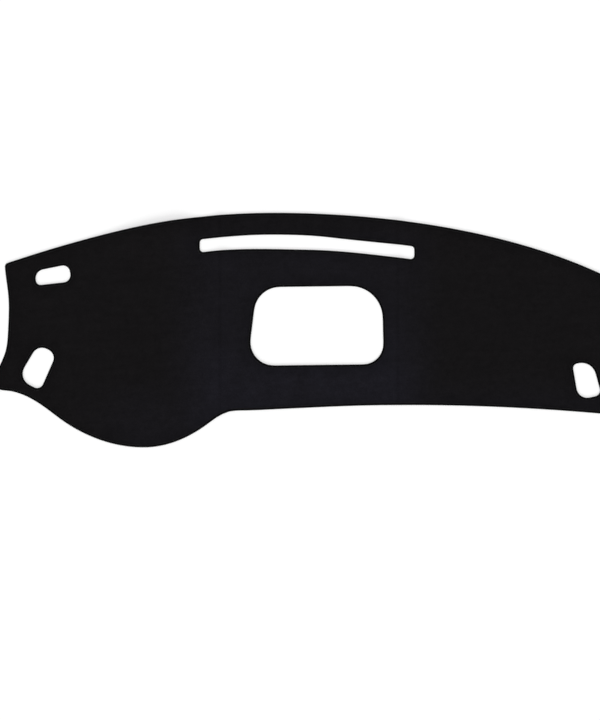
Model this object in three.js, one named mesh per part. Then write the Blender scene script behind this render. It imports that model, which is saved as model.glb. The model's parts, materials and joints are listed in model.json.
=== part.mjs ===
// Dashboard cover mat: one sheet of black flannel felt, cut to the top of a dashboard.
// Its outer edge and its five openings are serged, so each edge is a thin round lip behind a needle line.
// Millimetres. +X runs along the dashboard to the right, +Y to the windscreen, +Z up off the table.
// Sizes are taken from the middle of the centre opening, the datum of the pattern.
import * as THREE from 'three';

// Sheet and serged edge
const sheetThickness = 4;
const lipWidth = 5; // from the edge to the needle line
const lipThickness = 3.4;
const lipRound = 1.8; // depth of the rounded edge
const shoulderWidth = 1.5; // where the nap rises again behind the needle line
const needleDip = 0.7;
const lipAngles = [90, 42, 0, -42, -90]; // steps of the rounding, from the top round to the underside

// Windscreen edge, a shallow bow from corner to corner
const crestX = -94;
const crestY = 254;
const crestEaseLeft = 170;
const crestEaseRight = 189;
const leftEndX = -703.5;
const leftCornerY = 139;
const leftCornerHeading = 198.5;
const leftCornerEase = 282;
const leftCornerTurn = 76;
const rightEndX = 681;
const rightCornerY = 96;
const rightCornerHeading = 152.8;
const rightCornerEase = 285;
const rightCornerTurn = 70;
const cornerRadius = 9;

// Left end: it narrows to a waist, then spreads to an ear
const leftWaistInset = 9.5;
const leftWaistY = 46;
const leftShoulderInset = 6;
const leftShoulderY = -38;
const leftShoulderHeading = -94;
const leftEarReach = 37;
const leftEarY = -144.5;
const leftEarHeading = -115;
const leftEarBottomHeading = -1.3;

// Right end, the same form set lower
const rightWaistInset = 8;
const rightWaistY = 5;
const rightShoulderInset = 4;
const rightShoulderY = -88;
const rightShoulderHeading = 94;
const rightEarReach = 41;
const rightEarY = -205.5;
const rightEarHeading = 112;
const rightEarBottomHeading = -5.4;
const earRadius = 22;

// Rear edge, with the bulge over the instrument hood
const rearEdgeY = -178.5;
const rearHighX = 205; // where the rear edge comes nearest the windscreen
const rearEaseLeft = 121;
const rearEaseRight = 167;
const rearStepX = -65; // where it has left the bulge and runs nearly straight
const rearStepDepth = 8;
const rearStepHeading = 2.5;
const hoodDepth = 95.5; // how far the bulge hangs below the rear edge
const hoodFromLeftEnd = 313;
const hoodLeftFlankRun = 197.5;
const hoodLeftFlankRise = 71.5;
const hoodLeftFlankHeading = -37.7;
const hoodRightFlankRun = 148.5;
const hoodRightFlankRise = 56.5;
const hoodRightFlankHeading = 37.7;
const hoodEndRun = 208.5;
const hoodEndRise = 83;
const hoodEndHeading = 0;

// Windscreen slot. It follows the bow of the windscreen edge, and its right half runs nearly straight
const slotLeftX = -264.5;
const slotLength = 483;
const slotCrestFromLeft = 158.5;
const slotFromCrest = 49;
const slotCrestWidth = 34;
const slotLeftDrop = 11; // the head side's left corner below its crest
const slotLeftWidth = 29.2;
const slotLeftHeading = 6.2;
const slotShoulderFromLeft = 294;
const slotShoulderDrop = 6.3;
const slotRightDrop = 26.6;
const slotRightWidth = 29.4;
const slotRightHeading = -6.9;
const slotFootCrestFromLeft = 241.5;
const slotFootCrestHeading = -1;
const slotFootHeading = 7.3;
const slotCornerRadius = 8;

// Centre opening, over the middle vents or the screen. Its head is the side towards the windscreen
const centreLength = 176.7;
const centreX = 0.6;
const centreHeadWidth = 281.7;
const centreFootWidth = 307.3;
const centreLean = 11; // how far the head stands to the right of the foot
const centreHeading = 90.7;
const centreCornerRadii = [52.5, 45.5, 72, 58]; // foot left, foot right, head right, head left

// Side vent openings
const upperLeftVentLength = 79;
const upperLeftVentHeadWidth = 39.5;
const upperLeftVentFootWidth = 32.5;
const upperLeftVentHeading = 8.8;
const upperLeftVentFromEnd = 108.3;
const upperLeftVentFromCorner = 26.2;
const upperLeftVentRadii = [20.5, 10.5, 16.5, 15.5];

const lowerLeftVentLength = 90;
const lowerLeftVentHeadWidth = 46.5;
const lowerLeftVentFootWidth = 57.5;
const lowerLeftVentHeading = 62.8;
const lowerLeftVentFromEar = 112.2;
const lowerLeftVentRise = 51.8;
const lowerLeftVentRadii = [28, 14.5, 20.5, 23.5];

const lowerRightVentLength = 81;
const lowerRightVentHeadWidth = 45.3;
const lowerRightVentFootWidth = 53;
const lowerRightVentHeading = 102.5;
const lowerRightVentFromEar = 116.8;
const lowerRightVentRise = 83.4;
const lowerRightVentRadii = [24.5, 13.3, 32.5, 11];

// Packing folds, two soft ridges across the sheet, and the low wave by the windscreen edge
const foldSpacing = 400;
const foldMiddleX = -19;
const foldHalfWidth = 26;
const foldHeight = 2.6;
const foldSteps = [-1, -0.5, 0, 0.5, 1]; // columns of points across a fold, in half widths
const waveFromCrest = 242;
const waveInset = 22;
const waveLeftLength = 215; // it rises slowly from the left and falls off short on the right
const waveRightLength = 75;
const waveReach = 100;
const waveHeight = 11;

// Fineness of the surface
const edgeStep = 22;
const edgeTurn = 14;
const faceStep = 38;
const faceMargin = 13; // clear of the edge bands
const leastStep = 2;
const leastArea = 0.01;
const circleMargin = 0.001;

// Turns, in degrees, and the least one that counts as a bend, in radians
const quarterTurn = 90;
const halfTurn = 180;
const fullTurn = 360;
const leastTurn = 0.01;

const feltMaterial = new THREE.MeshStandardMaterial({ color: 0x171618, roughness: 0.95, metalness: 0 });

function direction(heading) {
  const angle = THREE.MathUtils.degToRad(heading);
  return new THREE.Vector2(Math.cos(angle), Math.sin(angle));
}

// One point of an outline, with the heading that the outline has there. The eases say how long the
// outline keeps that heading before and after the point; without them, the curve turns evenly.
function knot(x, y, heading, easeBefore, easeAfter) {
  return { at: new THREE.Vector2(x, y), heading, easeBefore, easeAfter };
}

// A rounded corner, as the two knots where its arc begins and ends
function corner(x, y, headingIn, headingOut, radius) {
  const turn = THREE.MathUtils.degToRad(evenTurn(headingIn, headingOut));
  const setback = radius * Math.tan(Math.abs(turn) / 2);
  const start = new THREE.Vector2(x, y).addScaledVector(direction(headingIn), -setback);
  const end = new THREE.Vector2(x, y).addScaledVector(direction(headingOut), setback);
  return [knot(start.x, start.y, headingIn), knot(end.x, end.y, headingOut)];
}

function evenTurn(headingIn, headingOut) {
  return THREE.MathUtils.euclideanModulo(headingOut - headingIn + halfTurn, fullTurn) - halfTurn;
}

// The ease that makes a curve between two headings as round as an arc
function evenEase(from, to) {
  const turn = THREE.MathUtils.degToRad(Math.abs(evenTurn(from.heading, to.heading)));
  const chord = from.at.distanceTo(to.at);
  if (turn < leastTurn) {
    return chord / 3;
  }
  return (chord * 2 * Math.tan(turn / 4)) / (3 * Math.sin(turn / 2));
}

function closedPath(knots) {
  const path = new THREE.Path();
  path.moveTo(knots[0].at.x, knots[0].at.y);
  knots.forEach((from, index) => {
    const to = knots[(index + 1) % knots.length];
    const even = evenEase(from, to);
    const leave = from.at.clone().addScaledVector(direction(from.heading), from.easeAfter ?? even);
    const arrive = to.at.clone().addScaledVector(direction(to.heading), -(to.easeBefore ?? even));
    path.bezierCurveTo(leave.x, leave.y, arrive.x, arrive.y, to.at.x, to.at.y);
  });
  return path;
}

function makeOutline() {
  const hoodX = leftEndX + hoodFromLeftEnd;
  const hoodY = rearEdgeY - hoodDepth;
  const [leftCornerStart, leftCornerEnd] = corner(
    leftEndX, leftCornerY, leftCornerHeading, leftCornerHeading + leftCornerTurn, cornerRadius,
  );
  const [rightCornerStart, rightCornerEnd] = corner(
    rightEndX, rightCornerY, rightCornerHeading - rightCornerTurn, rightCornerHeading, cornerRadius,
  );
  leftCornerStart.easeBefore = leftCornerEase;
  rightCornerEnd.easeAfter = rightCornerEase;
  return closedPath([
    knot(crestX, crestY, halfTurn, crestEaseRight, crestEaseLeft),
    leftCornerStart,
    leftCornerEnd,
    knot(leftEndX + leftWaistInset, leftWaistY, -quarterTurn),
    knot(leftEndX + leftShoulderInset, leftShoulderY, leftShoulderHeading),
    ...corner(leftEndX - leftEarReach, leftEarY, leftEarHeading, leftEarBottomHeading, earRadius),
    knot(hoodX - hoodLeftFlankRun, hoodY + hoodLeftFlankRise, hoodLeftFlankHeading),
    knot(hoodX, hoodY, 0),
    knot(hoodX + hoodRightFlankRun, hoodY + hoodRightFlankRise, hoodRightFlankHeading),
    knot(hoodX + hoodEndRun, hoodY + hoodEndRise, hoodEndHeading),
    knot(rearStepX, rearEdgeY - rearStepDepth, rearStepHeading),
    knot(rearHighX, rearEdgeY, 0, rearEaseLeft, rearEaseRight),
    ...corner(rightEndX + rightEarReach, rightEarY, rightEarBottomHeading, rightEarHeading, earRadius),
    knot(rightEndX - rightShoulderInset, rightShoulderY, rightShoulderHeading),
    knot(rightEndX - rightWaistInset, rightWaistY, quarterTurn),
    rightCornerStart,
    rightCornerEnd,
  ]);
}

// A four-sided opening with straight sides and round corners. Its length runs from foot to head along
// the heading, and the radii are in the order foot left, foot right, head right, head left.
function makeOpening({ x, y, length, headWidth, footWidth, lean = 0, heading, radii }) {
  const across = direction(heading - quarterTurn);
  const along = direction(heading);
  const place = (u, v) => new THREE.Vector2(x, y).addScaledVector(across, u).addScaledVector(along, v);
  const corners = [
    place(-footWidth / 2 - lean / 2, -length / 2),
    place(footWidth / 2 - lean / 2, -length / 2),
    place(headWidth / 2 + lean / 2, length / 2),
    place(-headWidth / 2 + lean / 2, length / 2),
  ];
  const headings = corners.map((from, index) => {
    const side = corners[(index + 1) % corners.length].clone().sub(from);
    return THREE.MathUtils.radToDeg(side.angle());
  });
  const knots = corners.flatMap((at, index) => {
    const headingIn = headings[(index + corners.length - 1) % corners.length];
    return corner(at.x, at.y, headingIn, headings[index], radii[index]);
  });
  return closedPath(knots);
}

function makeSlot() {
  const crestLevel = crestY - slotFromCrest;
  const leftX = slotLeftX;
  const rightX = slotLeftX + slotLength;
  const leftHead = crestLevel - slotLeftDrop;
  const rightHead = crestLevel - slotRightDrop;
  return closedPath([
    ...corner(leftX, leftHead - slotLeftWidth, -quarterTurn, slotFootHeading, slotCornerRadius),
    knot(leftX + slotFootCrestFromLeft, crestLevel - slotCrestWidth, slotFootCrestHeading),
    ...corner(rightX, rightHead - slotRightWidth, slotRightHeading, quarterTurn, slotCornerRadius),
    ...corner(rightX, rightHead, quarterTurn, halfTurn + slotRightHeading, slotCornerRadius),
    knot(leftX + slotShoulderFromLeft, crestLevel - slotShoulderDrop, halfTurn + slotRightHeading),
    knot(leftX + slotCrestFromLeft, crestLevel, halfTurn),
    ...corner(leftX, leftHead, halfTurn + slotLeftHeading, -quarterTurn, slotCornerRadius),
  ]);
}

function makeOpenings() {
  return [
    makeSlot(),
    makeOpening({
      x: centreX,
      y: 0,
      length: centreLength,
      headWidth: centreHeadWidth,
      footWidth: centreFootWidth,
      lean: centreLean,
      heading: centreHeading,
      radii: centreCornerRadii,
    }),
    makeOpening({
      x: leftEndX + upperLeftVentFromEnd,
      y: leftCornerY - upperLeftVentFromCorner,
      length: upperLeftVentLength,
      headWidth: upperLeftVentHeadWidth,
      footWidth: upperLeftVentFootWidth,
      heading: upperLeftVentHeading,
      radii: upperLeftVentRadii,
    }),
    makeOpening({
      x: leftEndX - leftEarReach + lowerLeftVentFromEar,
      y: leftEarY + lowerLeftVentRise,
      length: lowerLeftVentLength,
      headWidth: lowerLeftVentHeadWidth,
      footWidth: lowerLeftVentFootWidth,
      heading: lowerLeftVentHeading,
      radii: lowerLeftVentRadii,
    }),
    makeOpening({
      x: rightEndX + rightEarReach - lowerRightVentFromEar,
      y: rightEarY + lowerRightVentRise,
      length: lowerRightVentLength,
      headWidth: lowerRightVentHeadWidth,
      footWidth: lowerRightVentFootWidth,
      heading: lowerRightVentHeading,
      radii: lowerRightVentRadii,
    }),
  ];
}

const foldLines = [foldMiddleX - foldSpacing / 2, foldMiddleX + foldSpacing / 2];

// The columns of points that carry the ridges of the folds
const foldColumns = foldLines.flatMap((lineX) => {
  return foldSteps.map((step) => lineX + step * foldHalfWidth);
});

// A smooth swelling, 1 at its middle and 0 at distance 1
function hump(distance) {
  const rest = Math.max(0, 1 - distance * distance);
  return rest * rest;
}

// Height of the sheet's underside above the table
function lift(x, y) {
  const folds = foldLines.map((lineX) => foldHeight * hump((x - lineX) / foldHalfWidth));
  const fromWaveX = x - (crestX - waveFromCrest);
  const fromWaveY = y - (crestY - waveInset);
  const along = fromWaveX / (fromWaveX < 0 ? waveLeftLength : waveRightLength);
  return folds[0] + folds[1] + waveHeight * hump(Math.hypot(along, fromWaveY / waveReach));
}

// Points along a path, closer together where it bends, with extra ones where it crosses a fold
function samplePath(path) {
  const points = path.curves.flatMap((curve) => {
    const start = curve.getTangent(0);
    const middle = curve.getTangent(0.5);
    const end = curve.getTangent(1);
    const turn = THREE.MathUtils.radToDeg(angleBetween(start, middle) + angleBetween(middle, end));
    const steps = Math.max(1, Math.ceil(curve.getLength() / edgeStep), Math.ceil(turn / edgeTurn));
    return curve.getSpacedPoints(steps).slice(0, -1);
  });
  return points.flatMap((point, index) => {
    const next = points[(index + 1) % points.length];
    const crossings = foldColumns
      .filter((x) => (x - point.x) * (x - next.x) < 0)
      .map((x) => point.clone().lerp(next, (x - point.x) / (next.x - point.x)))
      .filter((cut) => cut.distanceTo(point) > leastStep && cut.distanceTo(next) > leastStep)
      .sort((a, b) => a.distanceTo(point) - b.distanceTo(point));
    return [point, ...crossings];
  });
}

function angleBetween(a, b) {
  return Math.abs(Math.atan2(a.cross(b), a.dot(b)));
}

// The same loop moved into the material, which lies to the left of the way that the loop runs
function insetLoop(points, distance) {
  return points.map((point, index) => {
    const before = points[(index + points.length - 1) % points.length];
    const after = points[(index + 1) % points.length];
    const arriving = point.clone().sub(before).normalize();
    const leaving = after.clone().sub(point).normalize();
    const along = arriving.clone().add(leaving).normalize();
    const stretch = 1 / along.dot(arriving);
    return new THREE.Vector2(point.x - along.y * distance * stretch, point.y + along.x * distance * stretch);
  });
}

// The section of a serged edge, from the top face round to the underside
function edgeSection() {
  const middle = sheetThickness / 2;
  const round = lipAngles.map((angle) => {
    const reach = direction(angle);
    return { inset: lipRound * (1 - reach.x), height: middle + (lipThickness / 2) * reach.y };
  });
  return [
    { inset: lipWidth + shoulderWidth, height: sheetThickness },
    { inset: lipWidth, height: sheetThickness - needleDip },
    ...round,
    { inset: lipWidth + shoulderWidth, height: 0 },
  ];
}

function insideLoop(x, y, loop) {
  return loop.reduce((inside, from, index) => {
    const to = loop[(index + 1) % loop.length];
    const spans = from.y > y !== to.y > y;
    const crosses = spans && x < from.x + ((y - from.y) / (to.y - from.y)) * (to.x - from.x);
    return crosses ? !inside : inside;
  }, false);
}

function distanceToLoop(x, y, loop) {
  const here = new THREE.Vector3(x, y, 0);
  const side = new THREE.Line3();
  const nearest = new THREE.Vector3();
  return Math.min(...loop.map((from, index) => {
    const to = loop[(index + 1) % loop.length];
    side.start.set(from.x, from.y, 0);
    side.end.set(to.x, to.y, 0);
    return side.closestPointToPoint(here, true, nearest).distanceTo(here);
  }));
}

// Points spread over the face, in columns, so that the folds and the wave have points to rise on
function facePoints(outer, holes) {
  const box = new THREE.Box2().setFromPoints(outer);
  const columns = [...foldColumns];
  for (let x = box.min.x; x < box.max.x; x += faceStep) {
    if (foldLines.every((lineX) => Math.abs(x - lineX) > foldHalfWidth + faceStep / 3)) {
      columns.push(x);
    }
  }
  columns.sort((a, b) => a - b);
  return columns.flatMap((x, column) => {
    const points = [];
    for (let y = box.min.y + (column % 2) * (faceStep / 2); y < box.max.y; y += faceStep) {
      const onSheet = insideLoop(x, y, outer) && holes.every((hole) => !insideLoop(x, y, hole));
      if (onSheet && [outer, ...holes].every((loop) => distanceToLoop(x, y, loop) > faceMargin)) {
        points.push(new THREE.Vector2(x, y));
      }
    }
    return points;
  });
}

function signedArea(a, b, c) {
  return (b.x - a.x) * (c.y - a.y) - (b.y - a.y) * (c.x - a.x);
}

// True where d lies in the circle through a, b and c
function inCircle(a, b, c, d) {
  const rows = [a, b, c].map((point) => {
    const x = point.x - d.x;
    const y = point.y - d.y;
    return [x, y, x * x + y * y];
  });
  return new THREE.Matrix3().set(...rows.flat()).determinant() > circleMargin;
}

// Swaps the shared side of two triangles wherever that makes both less slender
function evenOut(points, triangles) {
  let swapped = true;
  while (swapped) {
    swapped = false;
    const owners = new Map();
    triangles.forEach((triangle, owner) => {
      triangle.forEach((from, side) => owners.set(`${from} ${triangle[(side + 1) % 3]}`, owner));
    });
    const changed = new Set();
    for (const [edge, first] of owners) {
      const [from, to] = edge.split(' ').map(Number);
      const second = owners.get(`${to} ${from}`);
      if (second === undefined || changed.has(first) || changed.has(second)) {
        continue;
      }
      const near = triangles[first].find((index) => index !== from && index !== to);
      const far = triangles[second].find((index) => index !== from && index !== to);
      const slender = inCircle(points[from], points[to], points[near], points[far]);
      const sound = signedArea(points[near], points[from], points[far]) > leastArea
        && signedArea(points[far], points[to], points[near]) > leastArea;
      if (slender && sound) {
        triangles[first] = [near, from, far];
        triangles[second] = [far, to, near];
        changed.add(first);
        changed.add(second);
        swapped = true;
      }
    }
  }
  return triangles;
}

// The plan of one face: the bounds cut into triangles, then each inner point set into the one around it
function planFace(bounds, inner) {
  const points = bounds.flat();
  const [outside, ...holes] = bounds.map((loop) => [...loop]);
  const triangles = THREE.ShapeUtils.triangulateShape(outside, holes);
  evenOut(points, triangles);
  inner.forEach((point) => {
    const number = points.push(point) - 1;
    const around = triangles.findIndex((triangle) => triangle.every((from, side) => {
      return signedArea(points[from], points[triangle[(side + 1) % 3]], point) > 0;
    }));
    const [a, b, c] = triangles[around];
    triangles[around] = [a, b, number];
    triangles.push([b, c, number], [c, a, number]);
  });
  return evenOut(points, triangles);
}

function makeSheet() {
  const outer = samplePath(makeOutline());
  const holes = makeOpenings().map((path) => samplePath(path).reverse());
  const section = edgeSection();
  const positions = [];
  const triangles = [];
  const addPoint = (point, height) => {
    positions.push(point.x, point.y, height + lift(point.x, point.y));
    return positions.length / 3 - 1;
  };

  const bands = [outer, ...holes].map((loop) => section.map(({ inset, height }) => {
    const points = insetLoop(loop, inset);
    return { points, numbers: points.map((point) => addPoint(point, height)) };
  }));
  bands.forEach((rings) => {
    for (let ring = 1; ring < rings.length; ring += 1) {
      const upper = rings[ring - 1].numbers;
      const lower = rings[ring].numbers;
      upper.forEach((number, index) => {
        const next = (index + 1) % upper.length;
        triangles.push([number, lower[index], lower[next]], [number, lower[next], upper[next]]);
      });
    }
  });

  const bounds = bands.map((rings) => rings[0].points);
  const inner = facePoints(bounds[0], bounds.slice(1));
  const faces = planFace(bounds, inner);
  const topNumbers = [
    ...bands.flatMap((rings) => rings[0].numbers),
    ...inner.map((point) => addPoint(point, sheetThickness)),
  ];
  const undersideNumbers = [
    ...bands.flatMap((rings) => rings[rings.length - 1].numbers),
    ...inner.map((point) => addPoint(point, 0)),
  ];
  faces.forEach(([a, b, c]) => {
    triangles.push([topNumbers[a], topNumbers[b], topNumbers[c]]);
    triangles.push([undersideNumbers[c], undersideNumbers[b], undersideNumbers[a]]);
  });

  const geometry = new THREE.BufferGeometry();
  geometry.setAttribute('position', new THREE.Float32BufferAttribute(positions, 3));
  geometry.setIndex(triangles.flat());
  geometry.computeBoundingBox();
  const middle = geometry.boundingBox.getCenter(new THREE.Vector3());
  geometry.translate(-middle.x, -middle.y, 0);
  geometry.computeVertexNormals();
  return geometry;
}

const dashMat = new THREE.Mesh(makeSheet(), feltMaterial);
dashMat.name = 'dash_mat';

const group = new THREE.Group();
group.name = 'dashboard_cover_mat';
group.add(dashMat);

export default group;
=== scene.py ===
import json
from math import radians

import bpy
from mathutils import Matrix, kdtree

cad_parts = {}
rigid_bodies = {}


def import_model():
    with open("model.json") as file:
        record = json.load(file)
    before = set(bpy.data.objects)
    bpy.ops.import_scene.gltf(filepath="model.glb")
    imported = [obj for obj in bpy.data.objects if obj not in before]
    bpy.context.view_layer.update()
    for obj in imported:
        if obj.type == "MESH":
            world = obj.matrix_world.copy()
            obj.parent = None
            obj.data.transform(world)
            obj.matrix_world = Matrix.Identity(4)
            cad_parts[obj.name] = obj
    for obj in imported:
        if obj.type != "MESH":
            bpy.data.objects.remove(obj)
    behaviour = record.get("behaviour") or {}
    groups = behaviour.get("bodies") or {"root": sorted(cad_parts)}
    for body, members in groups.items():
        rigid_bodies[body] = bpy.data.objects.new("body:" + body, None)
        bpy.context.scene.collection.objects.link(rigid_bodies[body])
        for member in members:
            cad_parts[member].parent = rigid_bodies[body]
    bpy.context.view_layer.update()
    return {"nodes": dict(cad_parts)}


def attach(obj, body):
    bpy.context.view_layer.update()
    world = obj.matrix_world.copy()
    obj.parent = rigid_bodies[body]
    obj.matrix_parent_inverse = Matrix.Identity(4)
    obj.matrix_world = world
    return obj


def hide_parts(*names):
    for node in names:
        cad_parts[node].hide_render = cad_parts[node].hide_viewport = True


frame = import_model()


def pickOnly(piece):
    bpy.ops.object.select_all(action="DESELECT")
    piece.select_set(True)
    bpy.context.view_layer.objects.active = piece


def applyModifiers(piece):
    pickOnly(piece)
    for name in [modifier.name for modifier in piece.modifiers]:
        bpy.ops.object.modifier_apply(modifier=name)


# camera straight above the table, as the mat is photographed
view = {
    "lens": 85,  # mm
    "sensor": 36,  # mm, along the long side of the picture
    "seenLength": 1.62,  # m of table along that side
    "aim": (-0.0296, -0.0672),
    "feltTop": 0.004,
}

cameraHeight = view["feltTop"] + view["seenLength"] * view["lens"] / view["sensor"]
bpy.ops.object.camera_add(location=(*view["aim"], cameraHeight), rotation=(0, 0, 0))
camera = bpy.context.object
camera.name = "overheadCamera"
camera.data.lens = view["lens"]
camera.data.sensor_width = view["sensor"]
camera.data.clip_end = 50
bpy.context.scene.camera = camera
bpy.context.scene.view_settings.view_transform = "Standard"


# white table and soft light from the front left
studio = {
    "tableSize": 12,  # m
    "tableDrop": 0.0003,  # below the mat's underside
    "tableColour": (0.66, 0.66, 0.66, 1),
    "whiteLift": 0.38,  # what the camera sees on top of the lit table
    "skyStrength": 0.42,
    "frontLamp": {"strength": 1.35, "width": 36, "tilt": (55, 0, -18)},  # tilt from straight down, then round
    "topLamp": {"strength": 1.07, "width": 50, "tilt": (0, 0, 0)},
}


def seenDirectly(nodes, links):
    # 1 for camera, glossy and transmission rays, 0 for the rays that light things
    path = nodes.new("ShaderNodeLightPath")
    glossy = nodes.new("ShaderNodeMath")
    glossy.operation = "MAXIMUM"
    clear = nodes.new("ShaderNodeMath")
    clear.operation = "MAXIMUM"
    links.new(path.outputs["Is Camera Ray"], glossy.inputs[0])
    links.new(path.outputs["Is Glossy Ray"], glossy.inputs[1])
    links.new(glossy.outputs[0], clear.inputs[0])
    links.new(path.outputs["Is Transmission Ray"], clear.inputs[1])
    return clear.outputs[0]


def makeTableMaterial():
    material = bpy.data.materials.new("whiteTable")
    material.use_nodes = True
    nodes, links = material.node_tree.nodes, material.node_tree.links
    surface = nodes["Principled BSDF"]
    surface.inputs["Base Color"].default_value = studio["tableColour"]
    surface.inputs["Roughness"].default_value = 1
    surface.inputs["Specular IOR Level"].default_value = 0
    surface.inputs["Emission Color"].default_value = (1, 1, 1, 1)
    lift = nodes.new("ShaderNodeMath")
    lift.operation = "MULTIPLY"
    lift.inputs[1].default_value = studio["whiteLift"]
    links.new(seenDirectly(nodes, links), lift.inputs[0])
    links.new(lift.outputs[0], surface.inputs["Emission Strength"])
    return material


def makeSky():
    world = bpy.data.worlds.new("studioSky")
    bpy.context.scene.world = world
    world.use_nodes = True
    nodes, links = world.node_tree.nodes, world.node_tree.links
    strength = nodes.new("ShaderNodeMapRange")
    strength.inputs["To Min"].default_value = studio["skyStrength"]
    strength.inputs["To Max"].default_value = 1
    links.new(seenDirectly(nodes, links), strength.inputs["Value"])
    sky = nodes["Background"]
    sky.inputs["Color"].default_value = (1, 1, 1, 1)
    links.new(strength.outputs["Result"], sky.inputs["Strength"])


bpy.ops.mesh.primitive_plane_add(size=studio["tableSize"], location=(0, 0, -studio["tableDrop"]))
table = bpy.context.object
table.name = "whiteTable"
table.data.materials.append(makeTableMaterial())

makeSky()
for name in ("frontLamp", "topLamp"):
    bpy.ops.object.light_add(type="SUN", rotation=[radians(turn) for turn in studio[name]["tilt"]])
    lamp = bpy.context.object
    lamp.name = name
    lamp.data.energy = studio[name]["strength"]
    lamp.data.angle = radians(studio[name]["width"])
print("stage: camera, table and light are set")


# materials
def makeMaterial(name):
    material = bpy.data.materials.new(name)
    material.use_nodes = True
    return material, material.node_tree.nodes, material.node_tree.links


def feed(links, socket, value):
    # a socket takes a link from another node, or a plain number
    if isinstance(value, bpy.types.NodeSocket):
        links.new(value, socket)
    else:
        socket.default_value = value


def calculate(nodes, links, operation, first, second=0.0):
    node = nodes.new("ShaderNodeMath")
    node.operation = operation
    feed(links, node.inputs[0], first)
    feed(links, node.inputs[1], second)
    return node.outputs[0]


def remap(nodes, links, value, fromLow, fromHigh, toLow, toHigh, soft=False):
    node = nodes.new("ShaderNodeMapRange")
    node.interpolation_type = "SMOOTHSTEP" if soft else "LINEAR"
    feed(links, node.inputs["Value"], value)
    for name, end in zip(("From Min", "From Max", "To Min", "To Max"), (fromLow, fromHigh, toLow, toHigh)):
        feed(links, node.inputs[name], end)
    return node.outputs["Result"]


def noise(nodes, links, vector, scale, detail=2.0, distortion=0.0):
    node = nodes.new("ShaderNodeTexNoise")
    links.new(vector, node.inputs["Vector"])
    feed(links, node.inputs["Scale"], scale)
    node.inputs["Detail"].default_value = detail
    node.inputs["Distortion"].default_value = distortion
    return node.outputs["Fac"]


def stretched(nodes, links, vector, turn, stretch):
    # the pattern drawn out along one direction of the sheet
    node = nodes.new("ShaderNodeMapping")
    node.vector_type = "TEXTURE"
    links.new(vector, node.inputs["Vector"])
    node.inputs["Rotation"].default_value = (0, 0, radians(turn))
    node.inputs["Scale"].default_value = (stretch, 1, 1)
    return node.outputs["Vector"]


feltLooks = {
    "warmBlack": (0.0069, 0.0063, 0.0068, 1),  # the outer panels
    "paintedSheenBlack": (0.0104, 0.0100, 0.0136, 1),  # the middle panel, painted lighter and cooler for the sheen the light lays on it
    "leftFade": (-0.37, -0.20),  # from the warm to the cool tone, along x
    "rightFade": (0.31, 0.17),
    "rearFade": (0.06, -0.15),  # along y
    "windscreenFade": (0.19, 0.24),
    "hoodFade": (-0.08, -0.21),
    "hoodSide": (-0.58, -0.34),  # along x
    "coolForward": 0.5,  # share of the cool tone ahead of the centre opening
    "coolAtWindscreen": 0.35,
    "coolAtHood": 0.42,
    "cloudScale": 9,  # slow drift of the tone over the sheet
    "mottleScale": 75,
    "brushScale": 130,
    "brushTurn": 4,  # degrees off the sheet's length
    "brushStretch": 8,
    "creases": (-0.2098, 0.1902),  # where the packing folds run, along x
    "creaseCore": 0.0012,
    "creaseReach": 0.006,
    "creaseShadeTone": 0.88,
    "lipPressedAndShadedTone": 0.16,
    "borderTone": 0.87,
    "fibreTurns": (12, 71, 133),  # degrees
    "fibreStretch": 6,
    "fibreWaviness": 1.2,
    "fibreScale": 2600,
    "fibreContrast": 0.3,
    "clumpScale": 340,
    "clumpShare": 0.3,
    "napStrength": 0.9,
    "napHeight": 0.0005,
    "roughness": 0.93,
    "specular": 0.02,
    "sheen": 0.06,
    "sheenRoughness": 0.45,
    "sheenTint": (0.55, 0.54, 0.6, 1),
}

undersideLooks = {
    "colour": (0.0062, 0.0058, 0.0062),
    "fibreScale": 1900,
    "clumpScale": 240,
    "fibreContrast": 0.24,
    "pitScale": 420,
    "pitShadeTone": 0.6,
    "mottleScale": 60,
    "napHeight": 0.0004,
}

threadLooks = {
    "looper": (0.0013, 0.0013, 0.0015),
    "looperFilaments": 5200,
    # black thread painted lighter than the looper, as a painted highlight along the needle line
    "needle": (0.028, 0.028, 0.0295),
    "needleFilaments": 6500,
    "wanderScale": 160,
    "roughness": 0.72,
    "specular": 0.03,
    "sheen": 0.03,
    "sheenRoughness": 0.4,
    "filamentHeight": 0.00012,
}


def makeFeltFibres():
    # matted fibres that cross in three directions, in loose clumps
    group = bpy.data.node_groups.new("feltFibres", "ShaderNodeTree")
    sockets = group.interface
    sockets.new_socket("Place", in_out="INPUT", socket_type="NodeSocketVector")
    sockets.new_socket("Fibre Scale", in_out="INPUT", socket_type="NodeSocketFloat")
    sockets.new_socket("Clump Scale", in_out="INPUT", socket_type="NodeSocketFloat")
    sockets.new_socket("Contrast", in_out="INPUT", socket_type="NodeSocketFloat")
    sockets.new_socket("Tone", in_out="OUTPUT", socket_type="NodeSocketFloat")
    sockets.new_socket("Height", in_out="OUTPUT", socket_type="NodeSocketFloat")
    nodes, links = group.nodes, group.links
    given = nodes.new("NodeGroupInput").outputs
    result = nodes.new("NodeGroupOutput").inputs
    matted = None
    for turn in feltLooks["fibreTurns"]:
        along = stretched(nodes, links, given["Place"], turn, feltLooks["fibreStretch"])
        fibres = noise(nodes, links, along, given["Fibre Scale"], 2, feltLooks["fibreWaviness"])
        matted = fibres if matted is None else calculate(nodes, links, "MAXIMUM", matted, fibres)
    clumps = noise(nodes, links, given["Place"], given["Clump Scale"], 3)
    inFibres = calculate(nodes, links, "MULTIPLY", matted, 1 - feltLooks["clumpShare"])
    inClumps = calculate(nodes, links, "MULTIPLY", clumps, feltLooks["clumpShare"])
    together = calculate(nodes, links, "ADD", inFibres, inClumps)
    links.new(together, result["Height"])
    low = calculate(nodes, links, "SUBTRACT", 1, given["Contrast"])
    high = calculate(nodes, links, "ADD", 1, given["Contrast"])
    links.new(remap(nodes, links, together, 0.42, 0.68, low, high), result["Tone"])
    return group


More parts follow.
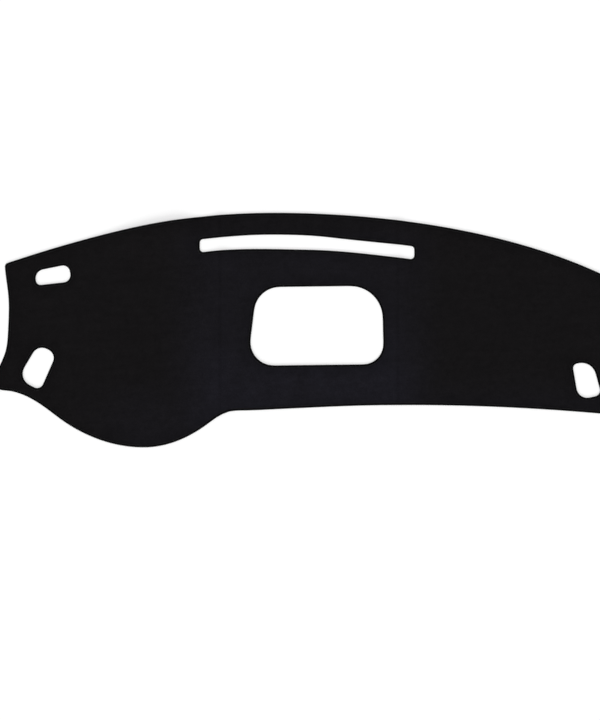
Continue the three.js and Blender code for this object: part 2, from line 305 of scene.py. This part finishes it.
def finishFelt(surface):
    surface.inputs["Roughness"].default_value = feltLooks["roughness"]
    surface.inputs["Specular IOR Level"].default_value = feltLooks["specular"]
    surface.inputs["Sheen Weight"].default_value = feltLooks["sheen"]
    surface.inputs["Sheen Roughness"].default_value = feltLooks["sheenRoughness"]
    surface.inputs["Sheen Tint"].default_value = feltLooks["sheenTint"]


def addFibres(nodes, links, place, fibreScale, clumpScale, contrast):
    fibres = nodes.new("ShaderNodeGroup")
    fibres.node_tree = feltFibres
    links.new(place, fibres.inputs["Place"])
    fibres.inputs["Fibre Scale"].default_value = fibreScale
    fibres.inputs["Clump Scale"].default_value = clumpScale
    fibres.inputs["Contrast"].default_value = contrast
    return fibres.outputs["Tone"], fibres.outputs["Height"]


def raiseNap(nodes, links, surface, height, depth):
    bump = nodes.new("ShaderNodeBump")
    bump.inputs["Strength"].default_value = feltLooks["napStrength"]
    bump.inputs["Distance"].default_value = depth
    links.new(height, bump.inputs["Height"])
    links.new(bump.outputs["Normal"], surface.inputs["Normal"])


def shade(nodes, links, colour, tone):
    node = nodes.new("ShaderNodeVectorMath")
    node.operation = "SCALE"
    feed(links, node.inputs["Vector"], colour)
    feed(links, node.inputs["Scale"], tone)
    return node.outputs["Vector"]


def makeFeltFace():
    material, nodes, links = makeMaterial("blackFeltFace")
    surface = nodes["Principled BSDF"]
    finishFelt(surface)
    place = nodes.new("ShaderNodeTexCoord").outputs["Object"]
    apart = nodes.new("ShaderNodeSeparateXYZ")
    links.new(place, apart.inputs["Vector"])
    x, y = apart.outputs["X"], apart.outputs["Y"]

    # painted sheen: the middle panel and the hood are painted a little cooler and lighter where the light's
    # sheen falls, most of all towards the rear edge
    fromLeft = remap(nodes, links, x, *feltLooks["leftFade"], 0, 1, soft=True)
    fromRight = remap(nodes, links, x, *feltLooks["rightFade"], 0, 1, soft=True)
    toRear = remap(nodes, links, y, *feltLooks["rearFade"], feltLooks["coolForward"], 1, soft=True)
    middle = calculate(nodes, links, "MULTIPLY", fromLeft, fromRight)
    middle = calculate(nodes, links, "MULTIPLY", middle, toRear)
    atWindscreen = feltLooks["coolAtWindscreen"]
    toWindscreen = remap(nodes, links, y, *feltLooks["windscreenFade"], 1, atWindscreen, soft=True)
    middle = calculate(nodes, links, "MULTIPLY", middle, toWindscreen)
    toHood = remap(nodes, links, y, *feltLooks["hoodFade"], 0, feltLooks["coolAtHood"], soft=True)
    pastSide = remap(nodes, links, x, *feltLooks["hoodSide"], 0, 1, soft=True)
    hood = calculate(nodes, links, "MULTIPLY", toHood, pastSide)
    middle = calculate(nodes, links, "MAXIMUM", middle, hood)
    drift = noise(nodes, links, place, feltLooks["cloudScale"], 3)
    cloud = remap(nodes, links, drift, 0.35, 0.65, 0.8, 1.15)
    middle = calculate(nodes, links, "MULTIPLY", middle, cloud)
    panels = nodes.new("ShaderNodeMix")
    panels.data_type = "RGBA"
    panels.inputs["A"].default_value = feltLooks["warmBlack"]
    panels.inputs["B"].default_value = feltLooks["paintedSheenBlack"]
    links.new(middle, panels.inputs["Factor"])

    # mottling where the nap was brushed and pressed, and painted shade along the two packing creases
    patches = noise(nodes, links, place, feltLooks["mottleScale"], 3)
    mottle = remap(nodes, links, patches, 0.3, 0.7, 0.9, 1.1)
    alongBrush = stretched(nodes, links, place, feltLooks["brushTurn"], feltLooks["brushStretch"])
    streaks = noise(nodes, links, alongBrush, feltLooks["brushScale"], 2)
    brushed = remap(nodes, links, streaks, 0.3, 0.7, 0.94, 1.06)
    tone = calculate(nodes, links, "MULTIPLY", mottle, brushed)
    for creaseX in feltLooks["creases"]:
        away = calculate(nodes, links, "ABSOLUTE", calculate(nodes, links, "SUBTRACT", x, creaseX))
        core, reach = feltLooks["creaseCore"], feltLooks["creaseReach"]
        # painted shade: the felt is darkened along each crease line
        crease = remap(nodes, links, away, core, reach, feltLooks["creaseShadeTone"], 1, soft=True)
        tone = calculate(nodes, links, "MULTIPLY", tone, crease)

    # the lip is pressed flat under the thread and painted dark with the shade that falls under and between
    # the threads; the nap beside it is worn down a little
    for name, darkest in (("lip", feltLooks["lipPressedAndShadedTone"]), ("border", feltLooks["borderTone"])):
        mark = nodes.new("ShaderNodeAttribute")
        mark.attribute_name = name
        worn = remap(nodes, links, mark.outputs["Fac"], 0, 1, 1, darkest)
        tone = calculate(nodes, links, "MULTIPLY", tone, worn)
    fibreTone, fibreHeight = addFibres(
        nodes, links, place, feltLooks["fibreScale"], feltLooks["clumpScale"], feltLooks["fibreContrast"],
    )
    tone = calculate(nodes, links, "MULTIPLY", tone, fibreTone)
    links.new(shade(nodes, links, panels.outputs["Result"], tone), surface.inputs["Base Color"])
    links.new(remap(nodes, links, fibreTone, 0.7, 1.3, 0.97, 0.88), surface.inputs["Roughness"])
    raiseNap(nodes, links, surface, fibreHeight, feltLooks["napHeight"])
    return material


def makeFeltUnderside():
    # unbrushed, with the small pits that the felting needles leave
    material, nodes, links = makeMaterial("blackFeltUnderside")
    surface = nodes["Principled BSDF"]
    finishFelt(surface)
    surface.inputs["Sheen Weight"].default_value = feltLooks["sheen"] / 2
    place = nodes.new("ShaderNodeTexCoord").outputs["Object"]
    looks = undersideLooks
    fibreTone, fibreHeight = addFibres(
        nodes, links, place, looks["fibreScale"], looks["clumpScale"], looks["fibreContrast"],
    )
    pits = nodes.new("ShaderNodeTexVoronoi")
    pits.inputs["Scale"].default_value = looks["pitScale"]
    links.new(place, pits.inputs["Vector"])
    # painted shade: the felt is darkened in the middle of each needle pit
    pit = remap(nodes, links, pits.outputs["Distance"], 0.1, 0.32, looks["pitShadeTone"], 1, soft=True)
    patches = noise(nodes, links, place, looks["mottleScale"], 3)
    mottle = remap(nodes, links, patches, 0.3, 0.7, 0.88, 1.12)
    tone = calculate(nodes, links, "MULTIPLY", calculate(nodes, links, "MULTIPLY", fibreTone, mottle), pit)
    links.new(shade(nodes, links, looks["colour"], tone), surface.inputs["Base Color"])
    height = calculate(nodes, links, "MULTIPLY", fibreHeight, pit)
    raiseNap(nodes, links, surface, height, looks["napHeight"])
    return material


def makeThreadPly():
    # fluffy polyester: fine filaments, and a tone that wanders along the seam
    group = bpy.data.node_groups.new("threadPly", "ShaderNodeTree")
    sockets = group.interface
    sockets.new_socket("Place", in_out="INPUT", socket_type="NodeSocketVector")
    sockets.new_socket("Filament Scale", in_out="INPUT", socket_type="NodeSocketFloat")
    sockets.new_socket("Tone", in_out="OUTPUT", socket_type="NodeSocketFloat")
    sockets.new_socket("Height", in_out="OUTPUT", socket_type="NodeSocketFloat")
    nodes, links = group.nodes, group.links
    given = nodes.new("NodeGroupInput").outputs
    result = nodes.new("NodeGroupOutput").inputs
    filaments = noise(nodes, links, given["Place"], given["Filament Scale"], 2, 0.5)
    wander = noise(nodes, links, given["Place"], threadLooks["wanderScale"], 2)
    tone = calculate(
        nodes, links, "MULTIPLY",
        remap(nodes, links, filaments, 0.3, 0.7, 0.7, 1.3),
        remap(nodes, links, wander, 0.3, 0.7, 0.75, 1.25),
    )
    links.new(tone, result["Tone"])
    links.new(filaments, result["Height"])
    return group


def makeThread(name, colour, filamentScale):
    material, nodes, links = makeMaterial(name)
    surface = nodes["Principled BSDF"]
    surface.inputs["Roughness"].default_value = threadLooks["roughness"]
    surface.inputs["Specular IOR Level"].default_value = threadLooks["specular"]
    surface.inputs["Sheen Weight"].default_value = threadLooks["sheen"]
    surface.inputs["Sheen Roughness"].default_value = threadLooks["sheenRoughness"]
    place = nodes.new("ShaderNodeTexCoord").outputs["Object"]
    ply = nodes.new("ShaderNodeGroup")
    ply.node_tree = threadPly
    links.new(place, ply.inputs["Place"])
    ply.inputs["Filament Scale"].default_value = filamentScale
    links.new(shade(nodes, links, colour, ply.outputs["Tone"]), surface.inputs["Base Color"])
    raiseNap(nodes, links, surface, ply.outputs["Height"], threadLooks["filamentHeight"])
    return material


feltFibres = makeFeltFibres()
threadPly = makeThreadPly()
feltFace = makeFeltFace()
feltUnderside = makeFeltUnderside()
looperThread = makeThread("looperThread", threadLooks["looper"], threadLooks["looperFilaments"])
paintedHighlightNeedleThread = makeThread("paintedHighlightNeedleThread", threadLooks["needle"], threadLooks["needleFilaments"])
print("materials: felt face, felt underside, looper thread, needle thread")


# the felt sheet
felt = {
    "weld": 0.000002,  # joins the loose triangles that the sheet comes in
    "lipWidth": 0.0045,  # the outer part of the lip, which the thread presses hardest and where the shade under the threads is painted
    "lipFade": 0.0012,
    "borderWidth": 0.024,  # from the edge to where the nap stands up again
    "flat": (1.44, 0.53),
    "area": 0.495,
    "unevenness": 0.0011,  # how much the laid sheet rises and falls
    "unevenLength": 0.16,
}


def copyNode(nodeName, pieceName):
    pickOnly(frame["nodes"][nodeName])
    bpy.ops.object.duplicate()
    piece = bpy.context.object
    piece.name = pieceName
    piece.data = piece.data.copy()
    bpy.ops.object.parent_clear(type="CLEAR_KEEP_TRANSFORM")
    bpy.ops.object.mode_set(mode="EDIT")
    bpy.ops.mesh.select_all(action="SELECT")
    bpy.ops.mesh.remove_doubles(threshold=felt["weld"])
    bpy.ops.object.mode_set(mode="OBJECT")
    return piece


def traceRims(piece):
    # the edges where the face turns over to the underside, as one closed curve for each edge of the felt
    pickOnly(piece)
    bpy.ops.object.mode_set(mode="EDIT")
    bpy.ops.mesh.select_mode(type="EDGE")
    bpy.ops.mesh.select_all(action="DESELECT")
    bpy.ops.object.mode_set(mode="OBJECT")
    facing = {}
    for face in piece.data.polygons:
        for key in face.edge_keys:
            facing.setdefault(key, set()).add(face.normal.z > 0)
    for edge in piece.data.edges:
        edge.select = len(facing[edge.key]) == 2
    bpy.ops.object.mode_set(mode="EDIT")
    bpy.ops.mesh.duplicate()
    bpy.ops.mesh.separate(type="SELECTED")
    bpy.ops.object.mode_set(mode="OBJECT")
    rim = next(part for part in bpy.context.selected_objects if part is not piece)
    pickOnly(rim)
    bpy.ops.object.mode_set(mode="EDIT")
    bpy.ops.mesh.separate(type="LOOSE")
    bpy.ops.object.mode_set(mode="OBJECT")
    rims = list(bpy.context.selected_objects)
    for rim in rims:
        pickOnly(rim)
        rim.data.materials.clear()
        bpy.ops.object.convert(target="CURVE")
    return sorted(rims, key=lambda rim: -rim.dimensions.x)


def turnRim(rim, anticlockwise):
    # every rim runs with the felt on its left
    points = [point.co for point in rim.data.splines[0].points]
    ring = zip(points, points[1:] + points[:1])
    area = sum(here.x * after.y - after.x * here.y for here, after in ring) / 2
    pickOnly(rim)
    bpy.ops.object.mode_set(mode="EDIT")
    bpy.ops.curve.select_all(action="SELECT")
    if (area > 0) != anticlockwise:
        bpy.ops.curve.switch_direction()
    bpy.ops.curve.spline_type_set(type="BEZIER")
    bpy.ops.curve.handle_type_set(type="AUTOMATIC")
    bpy.ops.object.mode_set(mode="OBJECT")
    rim.data.dimensions = "3D"
    rim.data.twist_mode = "Z_UP"
    rim.data.resolution_u = 5
    rim.data.use_stretch = True
    rim.data.use_deform_bounds = True


def markEdges(piece, rims):
    # 1 on the serged lip and 0 on the open face, and the same for the wider border, for the felt's colour
    places = [point.co.copy() for rim in rims for point in rim.data.splines[0].bezier_points]
    tree = kdtree.KDTree(len(places))
    for number, place in enumerate(places):
        tree.insert(place, number)
    tree.balance()
    distances = [tree.find(point.co)[2] for point in piece.data.vertices]
    lipEnd = felt["lipWidth"] + felt["lipFade"]
    borderEnd = felt["borderWidth"]
    for name, end, fade in (("lip", lipEnd, felt["lipFade"]), ("border", borderEnd, borderEnd - lipEnd)):
        mark = piece.data.attributes.new(name, "FLOAT", "POINT")
        for value, distance in zip(mark.data, distances):
            value.value = min(1, max(0, (end - distance) / fade))


def layUneven(piece):
    # the same slow rise and fall for the felt and for what is sewn on it
    texture = bpy.data.textures.get("tableLay") or bpy.data.textures.new("tableLay", "CLOUDS")
    texture.noise_scale = felt["unevenLength"]
    texture.noise_depth = 1
    lay = piece.modifiers.new("lay", "DISPLACE")
    lay.texture = texture
    lay.texture_coords = "LOCAL"
    lay.direction = "Z"
    lay.mid_level = 0
    lay.strength = felt["unevenness"]


feltMat = copyNode("dash_mat", "feltMat")
rims = traceRims(feltMat)
for number, rim in enumerate(rims):
    turnRim(rim, anticlockwise=number == 0)
    rim.name = "rim%d" % number
markEdges(feltMat, rims)
pickOnly(feltMat)
rounding = feltMat.modifiers.new("rounding", "SUBSURF")
rounding.levels = 1
rounding.render_levels = 1
layUneven(feltMat)
applyModifiers(feltMat)
bpy.ops.object.shade_smooth()
feltMat.data.materials.clear()
feltMat.data.materials.append(feltFace)
feltMat.data.materials.append(feltUnderside)
for face in feltMat.data.polygons:
    face.material_index = 1 if face.normal.z < -0.5 else 0
print("felt sheet:", len(feltMat.data.polygons), "faces,", len(rims), "edges to serge")


# serging: the looper threads go over and under the lip and lock on its edge, behind a line of needle stitches
serging = {
    "pitch": 0.0038,  # m from one needle hole to the next
    "looperRadius": 0.0005,
    "needleRadius": 0.00038,
}


def layThread(name, material, radius, points):
    # a thread through points of place and thickness share, as a mesh
    bpy.ops.object.select_all(action="DESELECT")
    bpy.ops.curve.primitive_nurbs_path_add(location=(0, 0, 0))
    thread = bpy.context.object
    thread.name = name
    thread.data.splines.clear()
    spline = thread.data.splines.new("POLY")
    spline.points.add(len(points) - 1)
    for point, (x, y, z, share) in zip(spline.points, points):
        point.co = (x, y, z, 1)
        point.radius = share
    thread.data.bevel_depth = radius
    thread.data.bevel_resolution = 0
    thread.data.use_fill_caps = True
    pickOnly(thread)
    bpy.ops.object.convert(target="MESH")
    thread = bpy.context.object
    thread.data.materials.append(material)
    return thread


def makeStitch():
    # along X from one needle hole to the next, Y into the felt from its edge, Z up from its middle
    pitch = serging["pitch"]
    overLooper = layThread("overLooper", looperThread, serging["looperRadius"], [
        (0.02 * pitch, 0.0052, 0.0009, 0.8),
        (0.10 * pitch, 0.0045, 0.0017, 1),
        (0.24 * pitch, 0.0022, 0.0019, 1),
        (0.38 * pitch, 0.0004, 0.0014, 1),
        (0.53 * pitch, -0.0004, 0.0001, 1),
        (0.68 * pitch, 0.0004, 0.0014, 1),
        (0.82 * pitch, 0.0022, 0.0019, 1),
        (0.96 * pitch, 0.0045, 0.0017, 1),
        (1.04 * pitch, 0.0052, 0.0009, 0.8),
    ])
    underLooper = layThread("underLooper", looperThread, serging["looperRadius"], [
        (0.10 * pitch, 0.0051, -0.0014, 0.8),
        (0.30 * pitch, 0.0022, -0.0015, 1),
        (0.45 * pitch, 0.0003, -0.0011, 1),
        (0.53 * pitch, -0.0003, 0.0003, 1),
        (0.61 * pitch, 0.0003, -0.0011, 1),
        (0.76 * pitch, 0.0022, -0.0015, 1),
        (0.96 * pitch, 0.0051, -0.0014, 0.8),
    ])
    needle = layThread("needleStitch", paintedHighlightNeedleThread, serging["needleRadius"], [
        (0.08 * pitch, 0.0051, 0.0009, 0.8),
        (0.22 * pitch, 0.0051, 0.0015, 1),
        (0.86 * pitch, 0.0051, 0.0015, 1),
        (1.00 * pitch, 0.0051, 0.0009, 0.8),
    ])
    bpy.ops.object.select_all(action="DESELECT")
    for thread in (overLooper, underLooper, needle):
        thread.select_set(True)
    bpy.context.view_layer.objects.active = overLooper
    bpy.ops.object.join()
    bpy.ops.object.shade_smooth()
    return overLooper


def sergeEdge(stitch, rim, name):
    pickOnly(stitch)
    bpy.ops.object.duplicate()
    row = bpy.context.object
    row.name = name
    row.data = row.data.copy()
    length = rim.data.splines[0].calc_length()
    count = round(length / serging["pitch"])
    repeat = row.modifiers.new("repeat", "ARRAY")
    repeat.count = count
    repeat.use_relative_offset = False
    repeat.use_constant_offset = True
    repeat.constant_offset_displace = (serging["pitch"], 0, 0)
    follow = row.modifiers.new("follow", "CURVE")
    follow.object = rim
    follow.deform_axis = "POS_X"
    layUneven(row)
    applyModifiers(row)
    return row


stitch = makeStitch()
rows = [sergeEdge(stitch, rim, "serging%d" % number) for number, rim in enumerate(rims)]
outerSerging = rows[0]
outerSerging.name = "outerSerging"
bpy.ops.object.select_all(action="DESELECT")
for row in rows[1:]:
    row.select_set(True)
bpy.context.view_layer.objects.active = rows[1]
bpy.ops.object.join()
openingSerging = rows[1]
openingSerging.name = "openingSerging"
bpy.ops.object.select_all(action="DESELECT")
for helper in [stitch, *rims]:
    helper.select_set(True)
bpy.ops.object.delete()
print("serging:", len(outerSerging.data.polygons), "and", len(openingSerging.data.polygons), "faces")


for piece in (feltMat, outerSerging, openingSerging):
    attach(piece, "root")
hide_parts("dash_mat")
